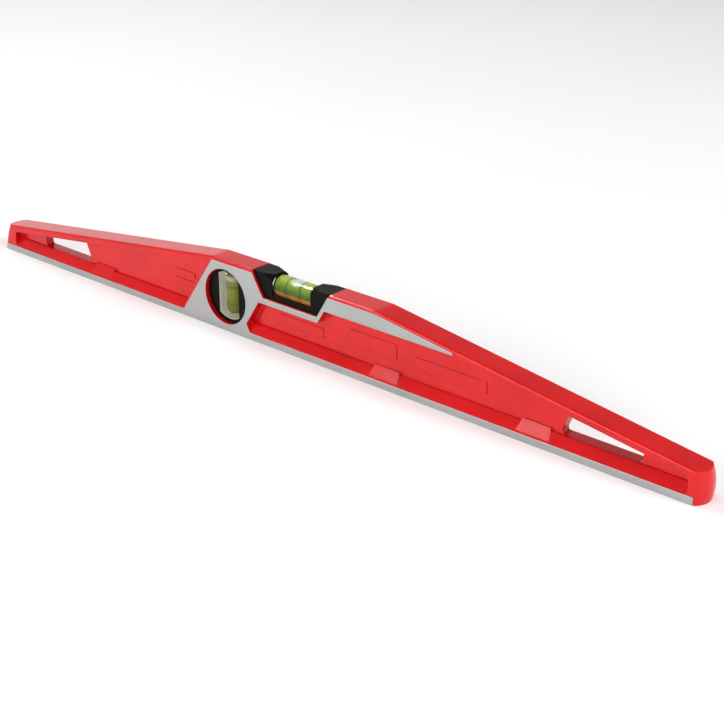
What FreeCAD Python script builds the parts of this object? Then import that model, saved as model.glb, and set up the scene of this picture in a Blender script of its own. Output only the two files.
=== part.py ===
# Cast aluminium trapezoid level, 600 mm long, with a level vial in a notch in the top
# and a plumb vial in a round window left of the middle.
#
# Frame: origin at the middle of the sole, +X along the level, -Y towards the front face, +Z up.
# Sizes are in millimetres. Each sub-part is written to parts/NODE.step.

import FreeCAD, Part
import math
import os

V = FreeCAD.Vector
X_AXIS = V(1, 0, 0)
Y_AXIS = V(0, 1, 0)
Z_AXIS = V(0, 0, 1)

# ---- casting: outside ----
LENGTH = 600.0            # over the two ends
HEIGHT = 49.0             # sole to the flat middle of the top
PLATEAU_HALF = 71.6       # half length of the flat middle of the top
VIAL_SHIFT = 2.8          # the level vial and the flat top stand right of the middle by this
END_TOP_HEIGHT = 19.6     # height of the top where its slopes are measured, near the ends
END_TOP_INSET = 7.5       # that place, in from half the length beside the vial
END_PLAN_RADIUS = 13.8    # roundness of the end seen from above, at its widest
END_CORNER_RADIUS = 2.2   # roundness of the upright corners of the end
# outline of each end seen from the side: height, and how far it is in from the tip there
RIGHT_END = [(0.0, 1.0), (8.0, 0.0), (20.0, 2.4)]
LEFT_END = [(0.0, 0.0), (10.0, 1.7), (20.0, 4.6)]
KINK_RADIUS = 30.0        # bend between the flat top and the slopes
MACHINED_HALF = 9.5       # half width over the machined faces
CAST_SETBACK = 0.6        # painted skin, in from the machined faces
TOP_EDGE_RADIUS = 1.7     # rounded edges of the top

# ---- casting: web, pockets and slots ----
WEB_HALF = 3.25           # half thickness of the web
BAND_HEIGHT = 4.7         # machined band along the sole
BAND_END_INSET = 5.7      # the band stops short of the right end by this
RIDGE_HEIGHT = 10.3       # top of the ledge along the foot of the web
LEDGE_TOP_WIDTH = 1.2     # flat top of the ledge, out from the web
LEDGE_RADIUS = 0.7        # rounded front edges of the ledge and its bosses
FLANGE_DEPTH = 4.6        # depth of the top flange, square to the sole, over the slopes
PLATEAU_DEPTH = 11.2      # depth of the top flange beside the flat top
POCKET_END_INSET = 12.5   # end wall of the outer pockets, in from the tip of the end
POCKET_END_RADIUS = 4.0
POCKET_CORNER_RADIUS = 2.0
POCKET_FILLET = 1.2       # root of the pocket walls
PAD_HALF_PLUMB = 28.0     # half width of the machined pad round the plumb bore, at its centre
PAD_RAKE_LEFT = 0.70      # lean of the pad's left edge, along X per unit of height
PAD_RAKE_RIGHT = 0.65     # lean of its right edge
POCKET_LAND = 3.0         # painted land between the left pocket and the machined pad
TIP_HEIGHT = 1.6          # blunt end of the tapering machined strip right of the notch
TIP_RADIUS = 0.7
SLOT_END_INSET = 43.0     # outer end of the hand slot, in from the tip of the end
SLOT_LENGTH = 53.5        # along the slot's floor
SLOT_INNER_LEAN = 6.0     # the inner end leans outwards by this up to the slot's roof
SLOT_ROOF_DROP = 0.8      # slot roof below the pocket's upper edge
SLOT_FLOOR_RISE = 0.1     # slot floor above the ledge
SLOT_RADIUS = 2.4
BOSS_RISE = 1.9           # bosses on the ledge, above it
BOSS_TOP_WIDTH = 0.6      # width of a boss's flat top
BOSS_HALF_LENGTH = 9.8
BOSS_END_SLOPE = 2.0      # each end of a boss leans out by this
BOSS_CORNER_RADIUS = 0.8
BOSS_TOE_SETBACK = 0.1    # foot of a boss, in from the painted skin
OUTER_BOSS_INSET = 15.5   # middle of the outer bosses, in from the slot's inner end
INNER_BOSS_X = 77.0

# ---- casting: blank raised panels on the web ----
PANEL_RISE = 0.5
PANEL_RADIUS = 1.0
# each: nearer end and farther end, back from the left pocket's end, then lower and upper edge
LEFT_PANELS = [(14.0, 34.0, 25.5, 29.5), (14.0, 34.0, 19.0, 23.0)]
# each: left and right end, along the level, then lower and upper edge
RIGHT_PANELS = [(-14.0, 24.0, 15.5, 22.5), (46.0, 84.0, 18.5, 29.0), (98.0, 152.0, 17.5, 25.5)]

# ---- notch for the level vial ----
NOTCH_HALF_FLOOR = 23.7
NOTCH_SPREAD = 10.2       # each wall of the notch leans out by this up to the top
NOTCH_RADIUS = 1.0
STRIP_DEPTH = 3.9         # metal left between the notch floor and the pocket below it
STRIP_STEP = 0.5          # the pocket beside the notch starts this far out from its foot

# ---- plumb bore ----
PLUMB_X = -58.5
PLUMB_BORE_R = 19.0
PLUMB_FLOOR = 5.0         # metal under the bore

# ---- level vial ----
VIAL_TOP_DROP = 1.2       # vial below the top of the casting
VIAL_R = 7.1
VIAL_WALL = 1.8
VIAL_BARREL = 0.2         # the bore is this much wider in the middle
VIAL_END_WALL = 5.5       # closed end, and the length of the plug
RING_SPACING_HALF = 5.9
RING_WIDTH = 0.6
RING_DEPTH = 0.15
BUBBLE_HALF_LENGTH = 5.4
BUBBLE_HALF_WIDTH = 3.9
BUBBLE_HALF_DEPTH = 2.7
BUBBLE_MIDDLE_DROP = 1.5  # middle of the bubble, below the top of the space it has
BUBBLE_GAP = 0.35         # bubble to the bore's wall, all along its travel
BUBBLE_FILM = 0.12        # hollow in the fluid, wider than its bubble by this all round

# ---- cradle ----
CRADLE_SIDE = 0.5         # cradle beyond the vial on each face
CRADLE_FLOOR = 0.96       # cradle under the trough
CRADLE_TOP_DROP = 0.2     # cradle below the top of the casting
CRADLE_GAP = 0.05
CHEEK_FOOT = 6.9          # length of each cheek along the notch floor
SOCKET_DEPTH = 4.2        # length of vial held in each cheek
CRADLE_NOSE_WALL = 1.9    # cheek's wall round the vial at its nose, where a cone rounds it
CRADLE_CONE_RISE = 0.24   # growth of the cone's radius per mm outwards
CRADLE_RIM_DROP = 4.7     # rims in front of and behind the vial, below its axis
SOCKET_GAP = 0.05
REFLECTOR_THICK = 0.3
REFLECTOR_SEAT_GAP = 0.02
REFLECTOR_HALF_WIDTH = 4.9

# ---- plumb vial unit ----
HOUSING_HALF = 6.5        # half thickness over the two housing halves
HOUSING_LIP = 0.8         # front lip of each half over the liner
HOUSING_GAP = 0.05        # housing in its bore
HOUSING_CHAMFER = 0.5
WINDOW_RIM = 2.4          # housing round the window's rounded ends
WINDOW_SIDE = 3.25        # window beyond the vial on each side
LINER_WALL = 1.0
PLUMB_VIAL_R = 6.25
PLUMB_VIAL_WALL = 1.55
PLUMB_VIAL_SEAT = 0.22    # each end of the vial runs into the liner by this at its edge
PLUMB_END_WALL = 2.2      # closed lower end
PLUMB_PLUG_LENGTH = 2.7
PLUMB_DOME = 2.6          # rounding of the cavity's lower end
PLUMB_BUBBLE_LENGTH = 5.0
PLUMB_BUBBLE_ROUND = 1.9
FLUID_GAP = 0.02          # fluid and plugs to the walls round them
BEDDING_GAP = 0.02

FLANGE_HALF = MACHINED_HALF - CAST_SETBACK
END_X = LENGTH / 2
RIGHT_TIP_X = END_X - VIAL_SHIFT
LEFT_TIP_X = -END_X - VIAL_SHIFT
END_TOP_X = END_X - END_TOP_INSET
SLOPE = (HEIGHT - END_TOP_HEIGHT) / (END_TOP_X - PLATEAU_HALF)
POCKET_TOP = HEIGHT - PLATEAU_DEPTH
SLOT_OUTER_X = END_X - SLOT_END_INSET
SLOT_INNER_X = SLOT_OUTER_X - SLOT_LENGTH
OUTER_BOSS_X = SLOT_INNER_X - OUTER_BOSS_INSET
TIP_X = PLATEAU_HALF + (PLATEAU_DEPTH - TOP_EDGE_RADIUS - TIP_HEIGHT) / SLOPE
FAR = 2 * MACHINED_HALF   # well outside the casting, for cutting tools
TOUCH = 0.01              # an edge this near to a plane lies in it

VIAL_Z = HEIGHT - VIAL_TOP_DROP - VIAL_R
VIAL_BORE_R = VIAL_R - VIAL_WALL
TROUGH_R = VIAL_R + REFLECTOR_THICK + 2 * REFLECTOR_SEAT_GAP
NOTCH_FLOOR = VIAL_Z - TROUGH_R - CRADLE_FLOOR
NOTCH_HALF_TOP = NOTCH_HALF_FLOOR + NOTCH_SPREAD
NOTCH_RAKE = NOTCH_SPREAD / (HEIGHT - NOTCH_FLOOR)
STRIP_Z = NOTCH_FLOOR - STRIP_DEPTH
CRADLE_HALF = VIAL_R + CRADLE_SIDE
CRADLE_NOSE_X = NOTCH_HALF_FLOOR - CHEEK_FOOT
CRADLE_NOSE_R = VIAL_R + CRADLE_NOSE_WALL
VIAL_HALF = CRADLE_NOSE_X + SOCKET_DEPTH
VIAL_CAVITY_HALF = VIAL_HALF - VIAL_END_WALL

PLUMB_Z = PLUMB_FLOOR + PLUMB_BORE_R
WINDOW_R = PLUMB_BORE_R - WINDOW_RIM
WINDOW_HALF = PLUMB_VIAL_R + WINDOW_SIDE
PLUMB_BORE_IN_R = PLUMB_VIAL_R - PLUMB_VIAL_WALL
PLUMB_VIAL_HALF = math.sqrt(WINDOW_R ** 2 - PLUMB_VIAL_R ** 2) + PLUMB_VIAL_SEAT
PLUMB_LOW = PLUMB_Z - PLUMB_VIAL_HALF
PLUMB_HIGH = PLUMB_Z + PLUMB_VIAL_HALF
PLUMB_CAVITY_LOW = PLUMB_LOW + PLUMB_END_WALL
PLUMB_CAVITY_HIGH = PLUMB_HIGH - PLUMB_PLUG_LENGTH


def top_z(x):
    """Height of the casting's top at x."""
    return HEIGHT - SLOPE * max(0.0, abs(x) - PLATEAU_HALF)


def outline(corners):
    """Closed wire in the XZ plane through (x, z, radius) corners, each rounded by its radius."""
    edges = []
    last = None
    first = None
    count = len(corners)
    for i, (x, z, radius) in enumerate(corners):
        here = V(x, 0, z)
        back = V(corners[i - 1][0], 0, corners[i - 1][1]) - here
        ahead = V(corners[(i + 1) % count][0], 0, corners[(i + 1) % count][1]) - here
        back.normalize()
        ahead.normalize()
        start, end = here, here
        if radius > 0:
            half = math.acos(max(-1.0, min(1.0, back.dot(ahead)))) / 2
            reach = radius / math.tan(half)
            start = here + back * reach
            end = here + ahead * reach
            bisector = back + ahead
            bisector.normalize()
            middle = here + bisector * (radius / math.sin(half) - radius)
        if last is not None:
            edges.append(Part.makeLine(last, start))
        else:
            first = start
        if radius > 0:
            edges.append(Part.Arc(start, middle, end).toShape())
        last = end
    edges.append(Part.makeLine(last, first))
    return Part.Wire(edges)


def slab(corners, low_y, high_y):
    """The outline's area, extruded from low_y to high_y."""
    face = Part.Face(outline(corners))
    face.translate(V(0, low_y, 0))
    return face.extrude(V(0, high_y - low_y, 0))


def box(low, high):
    """Box between two corners."""
    size = V(*high) - V(*low)
    return Part.makeBox(size.x, size.y, size.z, V(*low))


def rod_x(radius, low_x, high_x, z):
    """Cylinder along X on the level vial's plane."""
    return Part.makeCylinder(radius, high_x - low_x, V(low_x, 0, z), X_AXIS)


def rod_y(radius, low_y, high_y, x, z):
    """Cylinder along Y."""
    return Part.makeCylinder(radius, high_y - low_y, V(x, low_y, z), Y_AXIS)


def rod_z(radius, low_z, high_z):
    """Cylinder along Z on the plumb vial's axis."""
    return Part.makeCylinder(radius, high_z - low_z, V(PLUMB_X, 0, low_z), Z_AXIS)


def both_sides(shape):
    """The shape and its mirror image in the plane y = 0."""
    return [shape, shape.mirror(V(0, 0, 0), Y_AXIS)]


def mirrored_x(corners):
    """An outline's corners mirrored in x = 0, kept in the same turning order."""
    return [(-x, z, radius) for x, z, radius in reversed(corners)]


# ---- casting ----

def side_corners():
    """Outline of the level seen from the front, before its ends are rounded."""
    right = [
        (END_X + VIAL_SHIFT, 0, 0),
        (END_X + VIAL_SHIFT, top_z(END_X + VIAL_SHIFT), 0),
        (PLATEAU_HALF, HEIGHT, KINK_RADIUS),
    ]
    return right + mirrored_x(right)


def end_cap(profile, tip_x, half_width):
    """Rounded end: the profile turned about an upright axis inside the level, between the two faces."""
    side = math.copysign(1, tip_x)
    axis_x = tip_x - side * END_PLAN_RADIUS
    points = [V(tip_x - side * inset, 0, height) for height, inset in profile]
    low = V(axis_x, 0, points[0].z)
    high = V(axis_x, 0, HEIGHT)
    rim = V(points[-1].x, 0, HEIGHT)
    wire = Part.Wire([
        Part.makeLine(low, points[0]),
        Part.Arc(*points).toShape(),
        Part.makeLine(points[-1], rim),
        Part.makeLine(rim, high),
        Part.makeLine(high, low),
    ])
    turned = Part.Face(wire).revolve(low, Z_AXIS, 360)
    return turned.common(box((axis_x - FAR, -half_width, 0), (axis_x + FAR, half_width, HEIGHT)))


def rounded_plan(half_width):
    """Everything within half_width of the middle plane, up to the two rounded ends."""
    left_axis = LEFT_TIP_X + END_PLAN_RADIUS
    right_axis = RIGHT_TIP_X - END_PLAN_RADIUS
    middle = box((left_axis, -half_width, 0), (right_axis, half_width, HEIGHT))
    caps = [end_cap(LEFT_END, LEFT_TIP_X, half_width), end_cap(RIGHT_END, RIGHT_TIP_X, half_width)]
    whole = middle.fuse(caps).removeSplitter()
    upright = [
        e for e in whole.Edges
        if e.BoundBox.YLength < TOUCH and e.BoundBox.ZMin < TOUCH and e.BoundBox.ZLength > END_TOP_HEIGHT
        and abs(abs(e.BoundBox.Center.y) - half_width) < TOUCH
    ]
    return whole.makeFillet(END_CORNER_RADIUS, upright)


def blank():
    """The casting's painted outer skin, before anything is cut."""
    bar = slab(side_corners(), -FLANGE_HALF, FLANGE_HALF)
    bar = bar.makeFillet(TOP_EDGE_RADIUS, [e for e in bar.Edges if is_top_edge(e)])
    return bar.common(rounded_plan(FLANGE_HALF))


def is_top_edge(edge):
    """True for the long edges between the top and the two faces."""
    limits = edge.BoundBox
    return limits.YLength < TOUCH and limits.ZMax > HEIGHT - KINK_RADIUS and limits.XLength > TOUCH


def machined_faces():
    """The bare machined areas, which stand proud of the painted skin on both faces."""
    band = box((LEFT_TIP_X, -MACHINED_HALF, 0), (RIGHT_TIP_X - BAND_END_INSET, 0, BAND_HEIGHT))
    low = BAND_HEIGHT / 2
    high = HEIGHT - TOP_EDGE_RADIUS
    pad = slab([
        (pad_left(low), low, 0),
        (pad_left(high), high, 0),
        (PLATEAU_HALF, high, KINK_RADIUS),
        (TIP_X, POCKET_TOP + TIP_HEIGHT, TIP_RADIUS),
        (TIP_X, POCKET_TOP, TIP_RADIUS),
        (NOTCH_HALF_TOP, POCKET_TOP, 0),
        (NOTCH_HALF_TOP, low, 0),
    ], -MACHINED_HALF, 0)
    front = band.fuse(pad)
    return front.fuse(front.mirror(V(0, 0, 0), Y_AXIS)).common(rounded_plan(MACHINED_HALF))


def pad_left(z):
    """Left edge of the machined pad at height z."""
    return PLUMB_X - PAD_HALF_PLUMB + PAD_RAKE_LEFT * (z - PLUMB_Z)


def pad_right(z):
    """Right edge of the machined pad, where the right pocket starts, at height z."""
    return PLUMB_X + PAD_HALF_PLUMB + PAD_RAKE_RIGHT * (z - PLUMB_Z)


def pocket_end_corners():
    """Outer end of a pocket on the right, and the bend where its level upper edge meets the slope."""
    end = END_X - POCKET_END_INSET
    bend = PLATEAU_HALF + (PLATEAU_DEPTH - FLANGE_DEPTH) / SLOPE
    return [
        (end, BAND_HEIGHT, POCKET_CORNER_RADIUS),
        (end, top_z(end) - FLANGE_DEPTH, POCKET_END_RADIUS),
        (bend, POCKET_TOP, KINK_RADIUS),
    ]


def left_pocket_corners():
    """Outline of the left pocket."""
    right_wall = [
        (pad_left(BAND_HEIGHT) - POCKET_LAND / 2, BAND_HEIGHT, POCKET_CORNER_RADIUS),
        (pad_left(POCKET_TOP) - POCKET_LAND, POCKET_TOP, POCKET_END_RADIUS),
    ]
    return mirrored_x(pocket_end_corners()) + right_wall


def right_pocket_corners():
    """Outline of the right pocket, which runs under the notch."""
    rise = POCKET_TOP - STRIP_Z
    step_x = NOTCH_HALF_FLOOR + STRIP_STEP
    return [
        (pad_right(STRIP_Z), STRIP_Z, POCKET_CORNER_RADIUS),
        (pad_right(RIDGE_HEIGHT), RIDGE_HEIGHT, POCKET_CORNER_RADIUS),
        (pad_right(RIDGE_HEIGHT) + POCKET_LAND, BAND_HEIGHT, POCKET_CORNER_RADIUS),
    ] + pocket_end_corners() + [
        (step_x + NOTCH_RAKE * rise, POCKET_TOP, POCKET_CORNER_RADIUS),
        (step_x, STRIP_Z, POCKET_CORNER_RADIUS),
    ]


def sloping_bar(low_x, high_x, top, top_width, toe_y):
    """Bar along the foot of the web on the front, with a flat top, a rounded edge and a sloping face."""
    edge_y = -WEB_HALF - top_width
    section = [
        V(low_x, 0, 0),
        V(low_x, 0, top),
        V(low_x, edge_y, top),
        V(low_x, toe_y, BAND_HEIGHT),
        V(low_x, toe_y, 0),
    ]
    bar = Part.Face(Part.makePolygon(section + section[:1])).extrude(V(high_x - low_x, 0, 0))
    front = [
        e for e in bar.Edges
        if e.BoundBox.ZMin > top - TOUCH and e.BoundBox.YMax < edge_y + TOUCH
    ]
    return bar.makeFillet(LEDGE_RADIUS, front)


def ledge():
    """Ledge from the machined band up to the foot of the web, on the front."""
    return sloping_bar(LEFT_TIP_X, RIGHT_TIP_X, RIDGE_HEIGHT, LEDGE_TOP_WIDTH, -FLANGE_HALF)


def boss(x):
    """Raised boss on the front ledge, with leaning ends."""
    top = RIDGE_HEIGHT + BOSS_RISE
    length = 2 * (BOSS_HALF_LENGTH + BOSS_END_SLOPE)
    bar = sloping_bar(x - length / 2, x + length / 2, top, BOSS_TOP_WIDTH, -FLANGE_HALF + BOSS_TOE_SETBACK)
    ends = slab([
        (x - length / 2, BAND_HEIGHT, 0),
        (x - BOSS_HALF_LENGTH, top, BOSS_CORNER_RADIUS),
        (x + BOSS_HALF_LENGTH, top, BOSS_CORNER_RADIUS),
        (x + length / 2, BAND_HEIGHT, 0),
    ], -FAR, 0)
    return bar.common(ends)


def pocket_tool(corners, boss_places):
    """What is cut from the front for one pocket: the outline less the ledge and its bosses."""
    tool = slab(corners, -FAR, -WEB_HALF)
    root = [e for e in tool.Edges if e.BoundBox.YMin > -WEB_HALF - TOUCH]
    tool = tool.makeFillet(POCKET_FILLET, root)
    tool = tool.cut(ledge())
    for x in boss_places:
        tool = tool.cut(boss(x))
    return tool


def slot_corners():
    """Outline of the right hand slot: a wedge under the sloping flange."""
    floor = RIDGE_HEIGHT + SLOT_FLOOR_RISE
    drop = FLANGE_DEPTH + SLOT_ROOF_DROP
    roof_x = SLOT_INNER_X + SLOT_INNER_LEAN
    return [
        (SLOT_INNER_X, floor, SLOT_RADIUS),
        (SLOT_OUTER_X, floor, SLOT_RADIUS),
        (SLOT_OUTER_X, top_z(SLOT_OUTER_X) - drop, SLOT_RADIUS),
        (roof_x, top_z(roof_x) - drop, SLOT_RADIUS),
    ]


def notch_corners(gap, floor):
    """Outline of the notch in the top, made smaller by gap along its walls."""
    over = HEIGHT / 4
    return [
        (-NOTCH_HALF_FLOOR + gap, floor, NOTCH_RADIUS),
        (NOTCH_HALF_FLOOR - gap, floor, NOTCH_RADIUS),
        (NOTCH_HALF_TOP - gap + NOTCH_RAKE * over, HEIGHT + over, 0),
        (-NOTCH_HALF_TOP + gap - NOTCH_RAKE * over, HEIGHT + over, 0),
    ]


def panel(low_x, high_x, low_z, high_z):
    """Blank raised panel on the front of the web."""
    corners = [
        (low_x, low_z, PANEL_RADIUS),
        (high_x, low_z, PANEL_RADIUS),
        (high_x, high_z, PANEL_RADIUS),
        (low_x, high_z, PANEL_RADIUS),
    ]
    return slab(corners, -WEB_HALF - PANEL_RISE, -WEB_HALF + PANEL_RISE)


def panels():
    """Blank panels where such a casting carries its marks."""
    left_end = pad_left(POCKET_TOP) - POCKET_LAND
    left = [
        panel(left_end - farther, left_end - nearer, low_z, high_z)
        for nearer, farther, low_z, high_z in LEFT_PANELS
    ]
    return left + [panel(*place) for place in RIGHT_PANELS]


def cast_body():
    """The one-piece casting."""
    body = blank().fuse(machined_faces())
    pockets = [
        pocket_tool(left_pocket_corners(), [-OUTER_BOSS_X]),
        pocket_tool(right_pocket_corners(), [INNER_BOSS_X, OUTER_BOSS_X]),
    ]
    for pocket in pockets:
        body = body.cut(both_sides(pocket))
    through = [
        slab(slot_corners(), -FAR, FAR),
        slab(mirrored_x(slot_corners()), -FAR, FAR),
        slab(notch_corners(0, NOTCH_FLOOR), -FAR, FAR),
        rod_y(PLUMB_BORE_R, -FAR, FAR, PLUMB_X, PLUMB_Z),
    ]
    body = body.cut(through)
    for blank_panel in panels():
        body = body.fuse(both_sides(blank_panel))
    return body.removeSplitter()


# ---- level vial ----

def cradle():
    """Moulded cradle that fills the notch and holds the level vial by its ends."""
    top = HEIGHT - CRADLE_TOP_DROP
    solid = slab(notch_corners(CRADLE_GAP, NOTCH_FLOOR), -CRADLE_HALF, CRADLE_HALF)
    solid = solid.common(box((-END_X, -FAR, 0), (END_X, FAR, top)))
    reach = NOTCH_HALF_TOP + NOTCH_RAKE * HEIGHT
    cone = Part.makeCone(
        CRADLE_NOSE_R, CRADLE_NOSE_R + CRADLE_CONE_RISE * (reach - CRADLE_NOSE_X),
        reach - CRADLE_NOSE_X, V(CRADLE_NOSE_X, 0, VIAL_Z), X_AXIS,
    )
    corner = box((CRADLE_NOSE_X, -FAR, VIAL_Z), (reach, FAR, HEIGHT + FAR)).cut(cone)
    opening = box((-CRADLE_NOSE_X, -FAR, VIAL_Z - CRADLE_RIM_DROP), (CRADLE_NOSE_X, FAR, HEIGHT + FAR))
    trough = rod_x(TROUGH_R, -CRADLE_NOSE_X, CRADLE_NOSE_X, VIAL_Z)
    socket = rod_x(VIAL_R + SOCKET_GAP, -VIAL_HALF - SOCKET_GAP, END_X, VIAL_Z)
    return solid.cut([corner, corner.mirror(V(0, 0, 0), X_AXIS), opening, trough, socket])


def barrel(radius, bulge, half):
    """Barrel-shaped solid along X round the level vial's axis, widest in the middle."""
    arc = Part.Arc(
        V(-half, 0, VIAL_Z + radius), V(0, 0, VIAL_Z + radius + bulge), V(half, 0, VIAL_Z + radius)
    )
    wire = Part.Wire([
        arc.toShape(),
        Part.makeLine(V(half, 0, VIAL_Z + radius), V(half, 0, VIAL_Z)),
        Part.makeLine(V(half, 0, VIAL_Z), V(-half, 0, VIAL_Z)),
        Part.makeLine(V(-half, 0, VIAL_Z), V(-half, 0, VIAL_Z + radius)),
    ])
    return Part.Face(wire).revolve(V(0, 0, VIAL_Z), X_AXIS, 360)


def ring_x(x, inner, outer):
    """Ring round the level vial at x."""
    low = x - RING_WIDTH / 2
    high = x + RING_WIDTH / 2
    return rod_x(outer, low, high, VIAL_Z).cut(rod_x(inner, low, high, VIAL_Z))


def top_vial_tube():
    """Clear tube of the level vial, closed at the left and open for its plug at the right."""
    tube = rod_x(VIAL_R, -VIAL_HALF, VIAL_HALF, VIAL_Z)
    tube = tube.cut(barrel(VIAL_BORE_R, VIAL_BARREL, VIAL_CAVITY_HALF))
    tube = tube.cut(rod_x(VIAL_BORE_R, VIAL_CAVITY_HALF - RING_WIDTH, VIAL_HALF, VIAL_Z))
    grooves = [ring_x(x, VIAL_R - RING_DEPTH, VIAL_R + RING_DEPTH) for x in ring_places()]
    return tube.cut(grooves)


def ring_places():
    """Where the level vial's reading rings stand."""
    return [-RING_SPACING_HALF, RING_SPACING_HALF]


def top_vial_rings():
    """Two reading rings, printed in the tube's grooves."""
    return Part.makeCompound([
        ring_x(x, VIAL_R - RING_DEPTH + FLUID_GAP, VIAL_R) for x in ring_places()
    ])


def top_vial_plug():
    """Plug that closes the level vial's right end."""
    return rod_x(VIAL_BORE_R - FLUID_GAP, VIAL_CAVITY_HALF, VIAL_HALF, VIAL_Z)


def level_bubble(grow):
    """The level vial's bubble, made bigger by grow all round."""
    centre_z = VIAL_Z + VIAL_BORE_R - BUBBLE_GAP - BUBBLE_MIDDLE_DROP
    stretch = FreeCAD.Matrix()
    stretch.scale(V(BUBBLE_HALF_LENGTH + grow, BUBBLE_HALF_WIDTH + grow, BUBBLE_HALF_DEPTH + grow))
    lens = Part.makeSphere(1.0).transformGeometry(stretch)
    lens.translate(V(0, 0, centre_z))
    return lens.common(rod_x(VIAL_BORE_R - BUBBLE_GAP + grow, -VIAL_HALF, VIAL_HALF, VIAL_Z))


def top_vial_fluid():
    """Coloured fluid round the level bubble."""
    solid = barrel(VIAL_BORE_R - FLUID_GAP, VIAL_BARREL, VIAL_CAVITY_HALF - FLUID_GAP)
    return solid.cut(level_bubble(BUBBLE_FILM))


def top_vial_reflector():
    """Curved orange strip in the trough under the level vial."""
    inner = VIAL_R + REFLECTOR_SEAT_GAP
    strip = rod_x(inner + REFLECTOR_THICK, -CRADLE_NOSE_X, CRADLE_NOSE_X, VIAL_Z)
    strip = strip.cut(rod_x(inner, -CRADLE_NOSE_X, CRADLE_NOSE_X, VIAL_Z))
    return strip.common(box(
        (-CRADLE_NOSE_X + SOCKET_GAP, -REFLECTOR_HALF_WIDTH, 0),
        (CRADLE_NOSE_X - SOCKET_GAP, REFLECTOR_HALF_WIDTH, VIAL_Z),
    ))


def top_vial_bedding():
    """Setting compound that locks the level vial from the open end of the cradle."""
    wall_x = NOTCH_HALF_FLOOR - CRADLE_GAP
    fill = rod_x(VIAL_R, VIAL_HALF + BEDDING_GAP, END_X, VIAL_Z)
    limit = slab([
        (0, NOTCH_FLOOR, 0),
        (wall_x, NOTCH_FLOOR, 0),
        (wall_x + NOTCH_RAKE * (HEIGHT - NOTCH_FLOOR), HEIGHT, 0),
        (0, HEIGHT, 0),
    ], -FAR, FAR)
    return fill.common(limit)


# ---- plumb vial unit ----

def window_prism(half_width, radius, low_y, high_y):
    """Upright window with straight sides and round ends, as a prism along Y."""
    disc = rod_y(radius, low_y, high_y, PLUMB_X, PLUMB_Z)
    return disc.common(box(
        (PLUMB_X - half_width, low_y, 0), (PLUMB_X + half_width, high_y, 2 * PLUMB_Z)
    ))


def plumb_housing_front():
    """Front half of the black round housing."""
    disc = rod_y(PLUMB_BORE_R - HOUSING_GAP, -HOUSING_HALF, 0, PLUMB_X, PLUMB_Z)
    rim = [e for e in disc.Edges if e.BoundBox.YMax < -HOUSING_HALF + TOUCH]
    disc = disc.makeChamfer(HOUSING_CHAMFER, rim)
    window = window_prism(WINDOW_HALF, WINDOW_R, -HOUSING_HALF, 0)
    wall = LINER_WALL + HOUSING_GAP
    seat = window_prism(WINDOW_HALF + wall, WINDOW_R + wall, -HOUSING_HALF + HOUSING_LIP, 0)
    return disc.cut([window, seat])


def plumb_housing_rear():
    """Rear half of the housing, the front half's mirror image."""
    return plumb_housing_front().mirror(V(0, 0, 0), Y_AXIS)


def plumb_liner():
    """White liner of the window, which holds the vial's two ends."""
    depth = HOUSING_HALF - HOUSING_LIP - FLUID_GAP
    liner = window_prism(WINDOW_HALF + LINER_WALL, WINDOW_R + LINER_WALL, -depth, depth)
    liner = liner.cut(window_prism(WINDOW_HALF, WINDOW_R, -depth, depth))
    socket = rod_z(PLUMB_VIAL_R + SOCKET_GAP, PLUMB_LOW, PLUMB_HIGH)
    return liner.cut(socket)


def plumb_cavity(gap):
    """Cavity of the plumb vial with its rounded lower end, made smaller by gap."""
    low = PLUMB_CAVITY_LOW + gap
    cavity = rod_z(PLUMB_BORE_IN_R - gap, low, PLUMB_CAVITY_HIGH)
    floor = [e for e in cavity.Edges if e.BoundBox.ZMax < low + TOUCH]
    return cavity.makeFillet(PLUMB_DOME, floor)


def ring_z(z, inner, outer):
    """Ring round the plumb vial at height z."""
    low = z - RING_WIDTH / 2
    high = z + RING_WIDTH / 2
    return rod_z(outer, low, high).cut(rod_z(inner, low, high))


def plumb_ring_places():
    """Where the plumb vial's reading rings stand."""
    return [PLUMB_Z - RING_SPACING_HALF, PLUMB_Z + RING_SPACING_HALF]


def plumb_vial_tube():
    """Clear tube of the plumb vial, open for its plug at the top."""
    tube = rod_z(PLUMB_VIAL_R, PLUMB_LOW, PLUMB_HIGH)
    tube = tube.cut(plumb_cavity(0))
    mouth = rod_z(PLUMB_BORE_IN_R, PLUMB_CAVITY_HIGH - RING_WIDTH, PLUMB_HIGH)
    grooves = [
        ring_z(z, PLUMB_VIAL_R - RING_DEPTH, PLUMB_VIAL_R + RING_DEPTH) for z in plumb_ring_places()
    ]
    return tube.cut([mouth] + grooves)


def plumb_vial_rings():
    """Two reading rings of the plumb vial."""
    return Part.makeCompound([
        ring_z(z, PLUMB_VIAL_R - RING_DEPTH + FLUID_GAP, PLUMB_VIAL_R) for z in plumb_ring_places()
    ])


def plumb_vial_plug():
    """Plug in the plumb vial's upper end."""
    return rod_z(PLUMB_BORE_IN_R - FLUID_GAP, PLUMB_CAVITY_HIGH, PLUMB_HIGH)


def plumb_bubble(grow):
    """The plumb vial's bubble, which fills the top of the tube when the level lies on its sole."""
    high = PLUMB_CAVITY_HIGH - BUBBLE_GAP + grow
    low = high - PLUMB_BUBBLE_LENGTH - 2 * grow
    bubble = rod_z(PLUMB_BORE_IN_R - BUBBLE_GAP + grow, low, high)
    foot = [e for e in bubble.Edges if e.BoundBox.ZMax < low + TOUCH]
    return bubble.makeFillet(PLUMB_BUBBLE_ROUND, foot)


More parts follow.
